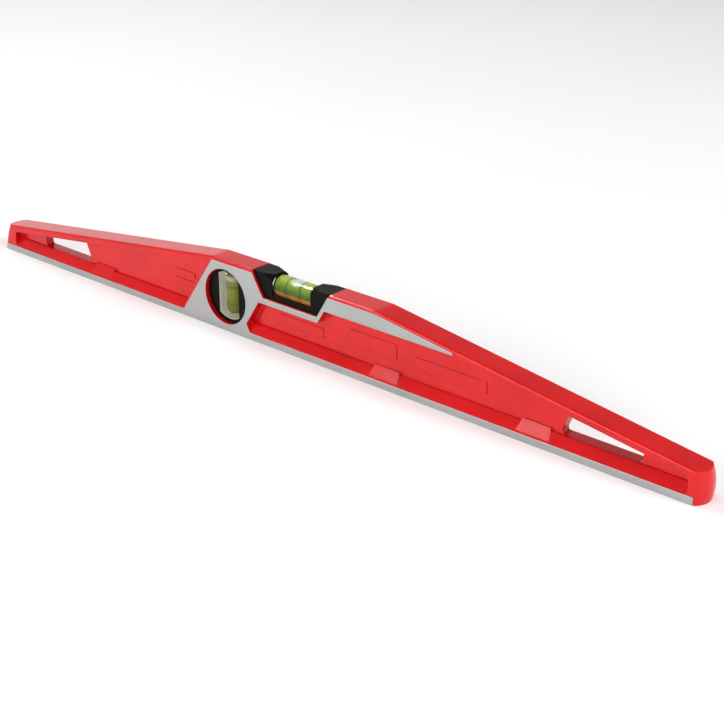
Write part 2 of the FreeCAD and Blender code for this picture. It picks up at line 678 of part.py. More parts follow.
def plumb_vial_fluid():
    """Coloured fluid under and round the plumb bubble."""
    top = PLUMB_CAVITY_HIGH - FLUID_GAP
    solid = plumb_cavity(FLUID_GAP).common(rod_z(PLUMB_BORE_IN_R, 0, top))
    over = rod_z(PLUMB_BORE_IN_R - BUBBLE_GAP, top - BUBBLE_GAP, top + BUBBLE_GAP)
    return solid.cut([plumb_bubble(BUBBLE_FILM), over])


def plumb_vial_bedding():
    """Dabs of setting compound between the plumb vial's ends and the liner."""
    radius = PLUMB_BORE_IN_R
    reach = math.sqrt(WINDOW_R ** 2 - radius ** 2)
    low = rod_z(radius, PLUMB_Z - reach, PLUMB_LOW)
    high = rod_z(radius, PLUMB_HIGH, PLUMB_Z + reach)
    return Part.makeCompound([low, high])


NODES = {
    "cast_body": cast_body,
    "top_vial_cradle": cradle,
    "top_vial_tube": top_vial_tube,
    "top_vial_plug": top_vial_plug,
    "top_vial_rings": top_vial_rings,
    "top_vial_fluid": top_vial_fluid,
    "top_vial_bubble": lambda: level_bubble(0),
    "top_vial_reflector": top_vial_reflector,
    "top_vial_bedding": top_vial_bedding,
    "plumb_housing_front": plumb_housing_front,
    "plumb_housing_rear": plumb_housing_rear,
    "plumb_liner": plumb_liner,
    "plumb_vial_tube": plumb_vial_tube,
    "plumb_vial_plug": plumb_vial_plug,
    "plumb_vial_rings": plumb_vial_rings,
    "plumb_vial_fluid": plumb_vial_fluid,
    "plumb_vial_bubble": lambda: plumb_bubble(0),
    "plumb_vial_bedding": plumb_vial_bedding,
}

os.makedirs("parts", exist_ok=True)
for node, make in NODES.items():
    shape = make()
    shape.translate(V(VIAL_SHIFT, 0, 0))
    shape.exportStep(f"parts/{node}.step")
    box_of = shape.optimalBoundingBox(False)
    print(
        f"{node}: {len(shape.Solids)} solid(s), valid {shape.isValid()}, {shape.Volume:.1f} mm3,"
        f" x {box_of.XMin:.2f}..{box_of.XMax:.2f}, y {box_of.YMin:.2f}..{box_of.YMax:.2f},"
        f" z {box_of.ZMin:.2f}..{box_of.ZMax:.2f}"
    )
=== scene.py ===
"""Looks for a cast aluminium trapezoid level with a level vial in its top and a plumb vial in its web.

Sizes are in metres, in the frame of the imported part: +X along the level, -Y out of its front face and
+Z up. The casting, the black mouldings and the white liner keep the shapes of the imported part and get
their finishes here. The vials, their fluid, bubbles and reading rings are made here.
"""

import logging
import math
from dataclasses import dataclass, field
from enum import Enum

import bmesh
import bpy
from mathutils import Matrix, Vector


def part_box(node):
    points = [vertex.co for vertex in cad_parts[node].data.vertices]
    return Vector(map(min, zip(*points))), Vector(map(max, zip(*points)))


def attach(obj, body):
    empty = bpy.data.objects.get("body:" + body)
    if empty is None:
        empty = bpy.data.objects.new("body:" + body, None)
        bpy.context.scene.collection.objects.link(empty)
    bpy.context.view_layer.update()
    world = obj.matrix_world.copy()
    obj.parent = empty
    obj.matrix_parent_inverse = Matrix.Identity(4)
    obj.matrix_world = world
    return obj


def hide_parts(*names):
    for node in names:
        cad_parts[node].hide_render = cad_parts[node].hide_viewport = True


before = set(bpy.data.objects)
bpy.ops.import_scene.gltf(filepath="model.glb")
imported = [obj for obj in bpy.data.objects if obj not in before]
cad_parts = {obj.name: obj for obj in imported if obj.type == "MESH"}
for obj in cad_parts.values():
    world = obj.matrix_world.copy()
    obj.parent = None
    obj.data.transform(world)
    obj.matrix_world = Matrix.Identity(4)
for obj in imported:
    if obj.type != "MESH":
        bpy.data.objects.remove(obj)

LOG = logging.getLogger("level")
MM = 0.001
Colour = tuple[float, float, float]


class Body(Enum):
    """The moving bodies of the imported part."""

    LEVEL = "level"
    TOP_BUBBLE = "top_bubble"
    PLUMB_BUBBLE = "plumb_bubble"


class Slot(Enum):
    """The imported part's material slots that the vials' pieces belong to."""

    ACRYLIC = "clear_acrylic"
    FLUID = "vial_fluid"
    BUBBLE = "vial_bubble"
    INK = "ring_ink"


class Along(Enum):
    """Direction in which a turned piece, made upright, is laid."""

    X = Matrix.Rotation(math.pi / 2, 4, "Y")
    Z = Matrix.Identity(4)


# ---- node trees ----

class Bench:
    """Adds and joins the nodes of one tree."""

    def __init__(self, tree: bpy.types.NodeTree) -> None:
        """Clears the tree.

        Args:
            tree: the shader or geometry tree to build in.
        """
        self.tree = tree
        tree.nodes.clear()

    def add(self, kind: str, options: dict | None = None, **inputs: object) -> bpy.types.Node:
        """Adds a node.

        Args:
            kind: the node's type name.
            options: the node's own settings.
            inputs: a value or an output socket for each input, by its name with _ for each space, or by
                its number after an underscore.

        Returns:
            The node.
        """
        node = self.tree.nodes.new(kind)
        for name, value in (options or {}).items():
            setattr(node, name, value)
        for name, value in inputs.items():
            number = name.removeprefix("_")
            key = int(number) if number.isdigit() else name.replace("_", " ")
            self.feed(node.inputs[key], value)
        return node

    def feed(self, socket: bpy.types.NodeSocket, value: object) -> None:
        """Links an output to the socket, or sets the socket's own value.

        Args:
            socket: the input.
            value: an output socket, a number, a vector or a material.
        """
        if isinstance(value, bpy.types.NodeSocket):
            self.tree.links.new(value, socket)
            return
        if socket.type == "RGBA" and len(value) == 3:
            value = (*value, 1.0)
        socket.default_value = value

    def ramp(self, value: object, colours: tuple[tuple[float, Colour], ...]) -> bpy.types.NodeSocket:
        """Colours a value from 0 to 1.

        Args:
            value: the value.
            colours: places from 0 to 1 and the colour at each.

        Returns:
            The colour.
        """
        node = self.add("ShaderNodeValToRGB", Fac=value)
        stops = node.color_ramp.elements
        while len(stops) < len(colours):
            stops.new(1.0)
        for stop, (where, colour) in zip(stops, colours):
            stop.position = where
            stop.color = (*colour, 1.0)
        return node.outputs[0]

    def maths(self, operation: str, *values: object) -> bpy.types.NodeSocket:
        """Adds a Math node.

        Args:
            operation: the node's operation.
            values: its inputs in order.

        Returns:
            The result.
        """
        node = self.tree.nodes.new("ShaderNodeMath")
        node.operation = operation
        for socket, value in zip(node.inputs, values):
            self.feed(socket, value)
        return node.outputs[0]

    def remap(
        self, value: object, low: float, high: float, to_low: float = 0.0, to_high: float = 1.0,
    ) -> bpy.types.NodeSocket:
        """Maps low..high onto to_low..to_high, held at both ends.

        Args:
            value: the value to map.
            low: start of the range that is read.
            high: its end.
            to_low: result at low.
            to_high: result at high.

        Returns:
            The mapped value.
        """
        return self.add("ShaderNodeMapRange", _0=value, _1=low, _2=high, _3=to_low, _4=to_high).outputs[0]


class SurfaceBench(Bench):
    """Builds one procedural surface on Object coordinates."""

    def __init__(self, name: str) -> None:
        """Makes an empty material.

        Args:
            name: the material's name.
        """
        self.material = bpy.data.materials.new(name)
        self.material.use_nodes = True
        super().__init__(self.material.node_tree)
        self.output = self.add("ShaderNodeOutputMaterial")
        self.place = self.add("ShaderNodeTexCoord").outputs["Object"]

    def stretched(self, scale: Vector) -> bpy.types.NodeSocket:
        """Object coordinates, scaled along each axis.

        Args:
            scale: the three factors.

        Returns:
            The coordinates.
        """
        return self.add("ShaderNodeMapping", Vector=self.place, Scale=scale).outputs[0]

    def noise(
        self, size: float, detail: float = 2.0, rough: float = 0.5,
        place: bpy.types.NodeSocket | None = None,
    ) -> bpy.types.NodeSocket:
        """Cloudy pattern.

        Args:
            size: width of its largest features, in metres, or in the unit of place.
            detail: how many finer layers it has.
            rough: how strong they are.
            place: where it is read, or None for Object coordinates.

        Returns:
            The pattern's value, around 0.5.
        """
        node = self.add(
            "ShaderNodeTexNoise", Vector=place or self.place, Scale=1 / size, Detail=detail, Roughness=rough,
        )
        return node.outputs[0]

    def blend(self, share: object, first: object, second: object) -> bpy.types.NodeSocket:
        """Mixes two colours.

        Args:
            share: how much of the second.
            first: a colour or its socket.
            second: another.

        Returns:
            The mixed colour.
        """
        node = self.add("ShaderNodeMix", {"data_type": "RGBA"})
        self.feed(node.inputs[0], share)
        self.feed(node.inputs[6], first)
        self.feed(node.inputs[7], second)
        return node.outputs[2]

    def soft_edges(self, radius: float) -> bpy.types.NodeSocket:
        """Normal with the piece's sharp edges rounded.

        Args:
            radius: of the rounding.

        Returns:
            The normal.
        """
        return self.add("ShaderNodeBevel", {"samples": 4}, Radius=radius).outputs[0]

    def relief(
        self, height: object, depth: float, normal: bpy.types.NodeSocket | None = None,
    ) -> bpy.types.NodeSocket:
        """Bumps the surface.

        Args:
            height: pattern from 0 to 1.
            depth: how high 1 stands over 0.
            normal: the normal to start from.

        Returns:
            The bumped normal.
        """
        node = self.add("ShaderNodeBump", Height=height, Distance=depth, Strength=1.0)
        if normal is not None:
            self.feed(node.inputs["Normal"], normal)
        return node.outputs[0]

    def principled(self, **inputs: object) -> bpy.types.Node:
        """Adds the main shader and joins it to the output.

        Args:
            inputs: its inputs, as for add.

        Returns:
            The shader node.
        """
        node = self.add("ShaderNodeBsdfPrincipled", **inputs)
        self.tree.links.new(node.outputs[0], self.output.inputs["Surface"])
        return node

    def let_light_in(self, tint: Colour) -> None:
        """Lets lamps shine through the surface, coloured by it.

        Args:
            tint: the light's colour behind it.
        """
        shader = self.output.inputs["Surface"].links[0].from_socket
        clear = self.add("ShaderNodeBsdfTransparent", Color=tint)
        path = self.add("ShaderNodeLightPath")
        shadow = path.outputs["Is Shadow Ray"]
        mix = self.add("ShaderNodeMixShader", _0=shadow, _1=shader, _2=clear.outputs[0])
        self.tree.links.new(mix.outputs[0], self.output.inputs["Surface"])


# ---- finishes ----

@dataclass(frozen=True)
class PaintedCasting:
    """Red stoved paint on a casting whose proud faces and sole were ground bare afterwards."""

    ground_y: float
    red: Colour = (0.60, 0.0045, 0.0060)
    deep_red: Colour = (0.52, 0.0030, 0.0042)
    thin_red: Colour = (0.78, 0.050, 0.040)
    bright_metal: Colour = (0.50, 0.515, 0.51)
    dull_metal: Colour = (0.34, 0.355, 0.35)
    shine: float = 0.36
    paint_gloss: tuple[float, float] = (0.15, 0.21)
    metal_gloss: tuple[float, float] = (0.46, 0.32)
    peel_depth: float = 0.008 * MM
    streak_depth: float = 0.004 * MM
    edge_radius: float = 0.6 * MM
    edge_wear: float = 0.35
    sole_depth: float = 0.04 * MM
    ground_blur: float = 0.01 * MM
    ground_wander: float = 0.02 * MM

    def material(self) -> bpy.types.Material:
        """Builds the finish.

        Returns:
            The material.
        """
        s = SurfaceBench("painted_casting_finish")
        edges = s.soft_edges(self.edge_radius)
        bare = self._bare(s)
        worn = self._worn(s, edges)
        colour = s.blend(s.remap(s.noise(28 * MM, 3), 0.35, 0.7), self.red, self.deep_red)
        colour = s.blend(worn, colour, self.thin_red)
        streaks, tone = self._grinding(s)
        metal = s.blend(s.maths("MULTIPLY", streaks, tone), self.dull_metal, self.bright_metal)
        paint_gloss = s.remap(s.noise(7 * MM, 3), 0.3, 0.7, *self.paint_gloss)
        metal_gloss = s.remap(streaks, 0.2, 0.8, *self.metal_gloss)
        gloss = s.add("ShaderNodeMix", _0=bare, _2=paint_gloss, _3=metal_gloss).outputs[0]
        peel = s.relief(s.noise(4.0 * MM, 1), self.peel_depth, edges)
        ground = s.relief(streaks, self.streak_depth, edges)
        normal = s.add("ShaderNodeMix", {"data_type": "VECTOR"}, _0=bare)
        s.feed(normal.inputs[4], peel)
        s.feed(normal.inputs[5], ground)
        s.principled(
            Base_Color=s.blend(bare, colour, metal), Metallic=bare, Roughness=gloss,
            Normal=normal.outputs[1], IOR=1.5, Specular_IOR_Level=self.shine,
        )
        return s.material

    def _bare(self, s: SurfaceBench) -> bpy.types.NodeSocket:
        """Finds where the paint is ground off: on the proud faces and the sole.

        Args:
            s: the surface being built.

        Returns:
            1 on bare metal, 0 on paint.
        """
        parts = s.add("ShaderNodeSeparateXYZ", Vector=s.place).outputs
        wander = s.remap(s.noise(5 * MM, 2), 0.3, 0.7, -self.ground_wander, self.ground_wander)
        reach = s.maths("ADD", s.maths("ABSOLUTE", parts[1]), wander)
        face = s.remap(reach, self.ground_y - self.ground_blur, self.ground_y + self.ground_blur)
        sole = s.remap(parts[2], 0.5 * self.sole_depth, self.sole_depth, 1.0, 0.0)
        return s.maths("MAXIMUM", face, sole)

    def _worn(self, s: SurfaceBench, edges: bpy.types.NodeSocket) -> bpy.types.NodeSocket:
        """Finds where the paint is thin: a little along sharp edges.

        Args:
            s: the surface being built.
            edges: the normal with rounded edges.

        Returns:
            How thin the paint is, from 0.
        """
        flat = s.add("ShaderNodeNewGeometry").outputs["Normal"]
        compare = s.add("ShaderNodeVectorMath", {"operation": "DOT_PRODUCT"}, _0=edges, _1=flat)
        facing = compare.outputs["Value"]
        edge = s.remap(facing, 0.99, 0.86)
        patches = s.remap(s.noise(3 * MM, 3), 0.42, 0.62)
        return s.maths("MULTIPLY", s.maths("MULTIPLY", edge, patches), self.edge_wear)

    def _grinding(self, s: SurfaceBench) -> tuple[bpy.types.NodeSocket, bpy.types.NodeSocket]:
        """Draws grinding lines along the level, and the uneven tone of the metal.

        Args:
            s: the surface being built.

        Returns:
            The lines and the tone.
        """
        fine = s.noise(1.0, 2, 0.6, s.stretched(Vector((60, 3200, 3200))))
        coarse = s.noise(1.0, 2, 0.6, s.stretched(Vector((12, 700, 700))))
        streaks = s.maths("MULTIPLY", s.maths("ADD", fine, coarse), 0.5)
        tone = s.remap(s.noise(40 * MM, 2), 0.3, 0.7, 0.75, 1.25)
        return streaks, tone


@dataclass(frozen=True)
class MouldedPlastic:
    """Injection moulding with a fine sparked texture."""

    name: str
    main: Colour
    second: Colour
    gloss: tuple[float, float] = (0.34, 0.46)
    edge_radius: float = 0.22 * MM
    texture_depth: float = 0.010 * MM
    inner_glow: float = 0.0
    shine: float = 0.5

    def material(self) -> bpy.types.Material:
        """Builds the finish.

        Returns:
            The material.
        """
        s = SurfaceBench(self.name)
        edges = s.soft_edges(self.edge_radius)
        sparks = s.relief(s.noise(0.28 * MM, 3, 0.6), self.texture_depth, edges)
        flow = s.relief(s.noise(4 * MM, 1), 0.03 * MM, sparks)
        rubbed = s.noise(1.0, 3, 0.6, s.stretched(Vector((90, 260, 260))))
        s.principled(
            Base_Color=s.blend(s.remap(s.noise(6 * MM, 3), 0.3, 0.7), self.main, self.second),
            Roughness=s.remap(rubbed, 0.3, 0.7, self.gloss[0], self.gloss[1]),
            Normal=flow, IOR=1.5, Specular_IOR_Level=self.shine, Subsurface_Weight=self.inner_glow,
            Subsurface_Radius=Vector((1.0, 0.9, 0.7)), Subsurface_Scale=0.8 * MM,
        )
        return s.material


@dataclass(frozen=True)
class ClearAcrylic:
    """Turned and polished acrylic, with faint polishing marks along the vial."""

    name: str
    marks: Vector
    bending: float
    tint: Colour = (0.985, 1.0, 0.97)

    def material(self) -> bpy.types.Material:
        """Builds the finish.

        Returns:
            The material.
        """
        s = SurfaceBench(self.name)
        marks = s.noise(1.0, 2, 0.5, s.stretched(self.marks))
        s.principled(
            Base_Color=s.blend(s.remap(s.noise(3 * MM), 0.3, 0.7), self.tint, (1.0, 1.0, 1.0)),
            Roughness=s.remap(marks, 0.3, 0.75, 0.02, 0.05),
            Normal=s.relief(marks, 0.0008 * MM), IOR=self.bending, Transmission_Weight=1.0,
        )
        s.let_light_in((0.96, 0.98, 0.95))
        return s.material


@dataclass(frozen=True)
class VialFluid:
    """Fluorescent yellow-green spirit with painted light and shade: darker downwards and lighter at the top,
    with a painted reflection of the colour of what lies below and a painted glow for its fluorescence.
    """

    name: str
    colours: tuple[tuple[float, Colour], ...]
    # Strength of the painted glow.
    painted_glow: float
    clearness: float

    def material(self, low: float, high: float) -> bpy.types.Material:
        """Builds the finish.

        Args:
            low: height of the fluid's bottom.
            high: height of its top.

        Returns:
            The material.
        """
        s = SurfaceBench(self.name)
        height = s.add("ShaderNodeSeparateXYZ", Vector=s.place).outputs[2]
        drift = s.remap(s.noise(4 * MM, 2), 0.3, 0.7, -0.3 * MM, 0.3 * MM)
        # Painted shade and light: the ramp darkens the spirit downwards and lightens it upwards, and paints
        # in the colour of what lies below as a painted reflection.
        colour = s.ramp(s.remap(s.maths("ADD", height, drift), low, high), self.colours)
        # The emission is a painted glow that stands in for the fluorescence.
        s.principled(
            Base_Color=colour, Roughness=s.remap(s.noise(2 * MM), 0.3, 0.7, 0.02, 0.08), IOR=1.01,
            Transmission_Weight=self.clearness, Emission_Color=colour, Emission_Strength=self.painted_glow,
        )
        s.let_light_in((0.86, 0.93, 0.35))
        return s.material


@dataclass(frozen=True)
class VialBubble:
    """Pocket of air with painted light and shade: pale above as painted light, and darker as painted shade
    where it turns under, because light is turned away there.
    """

    name: str
    # pale is painted light on the air; the darker colour after it is painted shade on the bubble's underside.
    pale: Colour = (0.40, 0.42, 0.35)
    underside_shade: Colour = (0.06, 0.09, 0.03)
    clearness: float = 0.05

    def material(self) -> bpy.types.Material:
        """Builds the finish.

        Returns:
            The material.
        """
        s = SurfaceBench(self.name)
        normal = s.add("ShaderNodeNewGeometry").outputs["Normal"]
        # Painted shade: the colour goes from the pale painted light to the darker painted shade where the
        # surface faces down.
        edge = s.remap(s.add("ShaderNodeSeparateXYZ", Vector=normal).outputs[2], 0.25, -0.45)
        colour = s.blend(edge, self.pale, self.underside_shade)
        s.principled(
            Base_Color=colour, Roughness=s.remap(s.noise(1.5 * MM), 0.3, 0.7, 0.05, 0.12), IOR=1.33,
            Transmission_Weight=self.clearness,
            Normal=s.relief(s.noise(3 * MM, 1), 0.03 * MM),
        )
        s.let_light_in((0.95, 0.97, 0.9))
        return s.material


@dataclass(frozen=True)
class CoatedFilm:
    """Thin printed or painted layer: ring ink or a fluorescent strip."""

    name: str
    main: Colour
    second: Colour
    gloss: tuple[float, float] = (0.3, 0.45)
    # Strength of a painted glow: emission, though the layer is no lamp. 0 leaves none.
    painted_glow: float = 0.0

    def material(self) -> bpy.types.Material:
        """Builds the finish.

        Returns:
            The material.
        """
        s = SurfaceBench(self.name)
        weave = s.noise(0.35 * MM, 2)
        colour = s.blend(s.remap(s.noise(2.5 * MM, 3), 0.3, 0.7), self.main, self.second)
        s.principled(
            Base_Color=colour, Roughness=s.remap(weave, 0.3, 0.7, self.gloss[0], self.gloss[1]),
            Normal=s.relief(weave, 0.006 * MM), IOR=1.5, Emission_Color=colour, Emission_Strength=self.painted_glow,
        )
        return s.material


# ---- geometry trees ----

class GeometryBench(Bench):
    """Builds one geometry tree with named inputs, and turns its result into a plain mesh."""

    def __init__(self, name: str) -> None:
        """Makes an empty tree with one geometry output.

        Args:
            name: the tree's name.
        """
        super().__init__(bpy.data.node_groups.new(name, "GeometryNodeTree"))
        self.tree.is_modifier = True
        self.tree.interface.new_socket("Geometry", in_out="OUTPUT", socket_type="NodeSocketGeometry")
        self.entry = self.tree.nodes.new("NodeGroupInput")
        self.exit = self.tree.nodes.new("NodeGroupOutput")

    def size(self, name: str, kind: str = "Float") -> bpy.types.NodeSocket:
        """Adds a named input.

        Args:
            name: the input's name.
            kind: Float, Int or Material.

        Returns:
            The socket to read it from.
        """
        self.tree.interface.new_socket(name, in_out="INPUT", socket_type=f"NodeSocket{kind}")
        return self.entry.outputs[name]

    def close(self, geometry: bpy.types.NodeSocket, finish: bpy.types.NodeSocket) -> None:
        """Ends the tree: instances are made real and the finish is set.

        Args:
            geometry: what the tree made.
            finish: the material input.
        """
        real = self.add("GeometryNodeRealizeInstances", _0=geometry).outputs[0]
        done = self.add("GeometryNodeSetMaterial", Geometry=real, Material=finish).outputs[0]
        self.tree.links.new(done, self.exit.inputs[0])

    def mesh(self, name: str, values: dict[str, object]) -> bpy.types.Mesh:
        """Runs the tree.

        Args:
            name: name of the mesh.
            values: a value for each named input.

        Returns:
            The result as a plain mesh.
        """
        host = bpy.data.objects.new(f"{name}_host", bpy.data.meshes.new(f"{name}_host"))
        bpy.context.scene.collection.objects.link(host)
        modifier = host.modifiers.new("build", "NODES")
        modifier.node_group = self.tree
        for item in self.tree.interface.items_tree:
            if item.item_type == "SOCKET" and item.in_out == "INPUT":
                modifier[item.identifier] = values[item.name]
        shown = host.evaluated_get(bpy.context.evaluated_depsgraph_get())
        mesh = bpy.data.meshes.new_from_object(shown)
        mesh.name = name
        bpy.data.objects.remove(host)
        return mesh


class TurnedRod(GeometryBench):
    """A rod turned on its axis: barrel shaped, with each end rounded by its own radius."""

    def __init__(self) -> None:
        """Builds the tree."""
        super().__init__("turned_rod")
        length, radius = self.size("Length"), self.size("Radius")
        bulge = self.size("Bulge")
        rounds = self.size("Lower Round"), self.size("Upper Round")
        steps, sides = self.size("Steps", "Int"), self.size("Sides", "Int")
        finish = self.size("Finish", "Material")
        top = self.add("ShaderNodeCombineXYZ", Z=length).outputs[0]
        line = self.add("GeometryNodeCurvePrimitiveLine", _1=top).outputs[0]
        line = self.add("GeometryNodeResampleCurve", Curve=line, Count=steps).outputs[0]
        turn = self.maths("MULTIPLY", self.add("GeometryNodeSplineParameter").outputs["Factor"], math.pi)
        share = self.maths("SUBTRACT", 0.5, self.maths("MULTIPLY", self.maths("COSINE", turn), 0.5))
        height = self.maths("MULTIPLY", share, length)
        middle = self.maths("SUBTRACT", self.maths("MULTIPLY", share, 2.0), 1.0)
        swell = self.maths("MULTIPLY", bulge, self.maths("SUBTRACT", 1.0, self.maths("POWER", middle, 2.0)))
        full = self.maths("ADD", radius, swell)
        ends = height, self.maths("SUBTRACT", length, height)
        for away, round_end in zip(ends, rounds):
            full = self.maths("SUBTRACT", full, self._lost(away, round_end))
        full = self.maths("MAXIMUM", full, 0.02 * MM)
        place = self.add("ShaderNodeCombineXYZ", Z=height).outputs[0]
        kept = self.add("GeometryNodeCaptureAttribute")
        kept.capture_items.new("FLOAT", "Full")
        kept.capture_items.new("VECTOR", "Place")
        self.feed(kept.inputs[0], line)
        self.feed(kept.inputs[1], full)
        self.feed(kept.inputs[2], place)
        moved = self.add("GeometryNodeSetPosition", Geometry=kept.outputs[0], Position=kept.outputs[2])
        line = moved.outputs[0]
        line = self.add("GeometryNodeSetCurveRadius", Curve=line, Radius=kept.outputs[1]).outputs[0]
        ring = self.add("GeometryNodeCurvePrimitiveCircle", Resolution=sides, Radius=1.0).outputs[0]
        body = self.add("GeometryNodeCurveToMesh", Curve=line, Profile_Curve=ring, Fill_Caps=True)
        if "Scale" in body.inputs:
            self.feed(body.inputs["Scale"], kept.outputs[1])
        smooth = self.add("GeometryNodeSetShadeSmooth", Geometry=body.outputs[0], Shade_Smooth=True)
        self.close(smooth.outputs[0], finish)

    def _lost(self, away: bpy.types.NodeSocket, round_end: bpy.types.NodeSocket) -> bpy.types.NodeSocket:
        """Works out what the radius loses to an end's rounding.

        Args:
            away: distance from that end.
            round_end: radius of its rounding.

        Returns:
            The loss.
        """
        inside = self.maths("MAXIMUM", self.maths("SUBTRACT", round_end, away), 0.0)
        whole, part = self.maths("POWER", round_end, 2.0), self.maths("POWER", inside, 2.0)
        squares = self.maths("SUBTRACT", whole, part)
        return self.maths("SUBTRACT", round_end, self.maths("SQRT", self.maths("MAXIMUM", squares, 0.0)))


class ReadingRings(GeometryBench):
    """Equal bands round an upright vial, evenly spaced about the middle."""

    def __init__(self) -> None:
        """Builds the tree."""
        super().__init__("reading_rings")
        count, sides = self.size("Count", "Int"), self.size("Sides", "Int")
        spacing, radius = self.size("Spacing"), self.size("Radius")
        width, depth = self.size("Band Width"), self.size("Band Depth")
        finish = self.size("Finish", "Material")
        gaps = self.maths("SUBTRACT", count, 1.0)
        start = self.maths("MULTIPLY", self.maths("MULTIPLY", gaps, spacing), -0.5)
        line = self.add(
            "GeometryNodeMeshLine", Count=count,
            Start_Location=self.add("ShaderNodeCombineXYZ", Z=start).outputs[0],
            Offset=self.add("ShaderNodeCombineXYZ", Z=spacing).outputs[0],
        ).outputs[0]
        circle = self.add("GeometryNodeCurvePrimitiveCircle", Resolution=sides, Radius=radius).outputs[0]
        circle = self.add("GeometryNodeSetCurveNormal", {"mode": "Z_UP"}, Curve=circle).outputs[0]
        section = self.add("GeometryNodeCurvePrimitiveQuadrilateral", Width=depth, Height=width).outputs[0]
        band = self.add("GeometryNodeCurveToMesh", Curve=circle, Profile_Curve=section).outputs[0]
        bands = self.add("GeometryNodeInstanceOnPoints", Points=line, Instance=band).outputs[0]
        self.close(bands, finish)


# ---- building pieces ----

def place_mesh(
    mesh: bpy.types.Mesh, name: str, along: Along, at: Vector,
) -> bpy.types.Object:
    """Makes an object of an upright mesh, with its direction and place put into the mesh.

    Args:
        mesh: the mesh, upright at the origin.
        name: the object's name.
        along: the direction in which its axis goes.
        at: where its origin goes.

    Returns:
        The object, which itself stays at the origin.
    """
    mesh.transform(Matrix.Translation(at) @ along.value)
    piece = bpy.data.objects.new(name, mesh)
    bpy.context.scene.collection.objects.link(piece)
    return piece


def seat(piece: bpy.types.Object, body: Body, slot: Slot, *nodes: str) -> None:
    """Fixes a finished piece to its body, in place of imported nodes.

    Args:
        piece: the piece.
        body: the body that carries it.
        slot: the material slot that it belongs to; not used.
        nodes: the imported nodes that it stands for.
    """
    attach(piece, body.value)
    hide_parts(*nodes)
    LOG.info("%s: %d faces, on %s, for %s", piece.name, len(piece.data.polygons), body.value, nodes)


def dress(node: str, material: bpy.types.Material) -> None:
    """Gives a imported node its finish.

    Args:
        node: the node's name.
        material: its finish.
    """
    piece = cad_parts[node]
    for holder in piece.material_slots:
        holder.material = material
    LOG.info("%s: dressed in %s", node, material.name)


@dataclass
class Casting:
    """The one-piece casting."""

    ground_margin: float = 0.05 * MM

    def build(self) -> None:
        """Dresses the casting: painted, and bare where it was ground."""
        ground_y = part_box("cast_body")[1].y - self.ground_margin
        dress("cast_body", PaintedCasting(ground_y).material())


@dataclass
class BlackMouldings:
    """The cradle of the level vial and the two halves of the plumb vial's housing."""

    finish: MouldedPlastic = MouldedPlastic(
        "black_moulding_finish", (0.0016, 0.0015, 0.0012), (0.0036, 0.0034, 0.0028),
        gloss=(0.30, 0.42), shine=0.07,
    )
    nodes: tuple[str, ...] = ("top_vial_cradle", "plumb_housing_front", "plumb_housing_rear")

    def build(self) -> None:
        """Dresses the mouldings."""
        material = self.finish.material()
        for node in self.nodes:
            dress(node, material)


@dataclass
class VialSizes:
    """Shape of one vial: a turned clear body round a cavity full of fluid."""

    end_round: float
    cavity_radius: float
    bulge: float
    cavity_inset: tuple[float, float]
    cavity_round: tuple[float, float]
    bending: float
    ring_stand: float = 0.03 * MM
    ring_depth: float = 0.12 * MM
    ring_width: float = 0.6 * MM
    steps: int = 96
    sides: int = 96


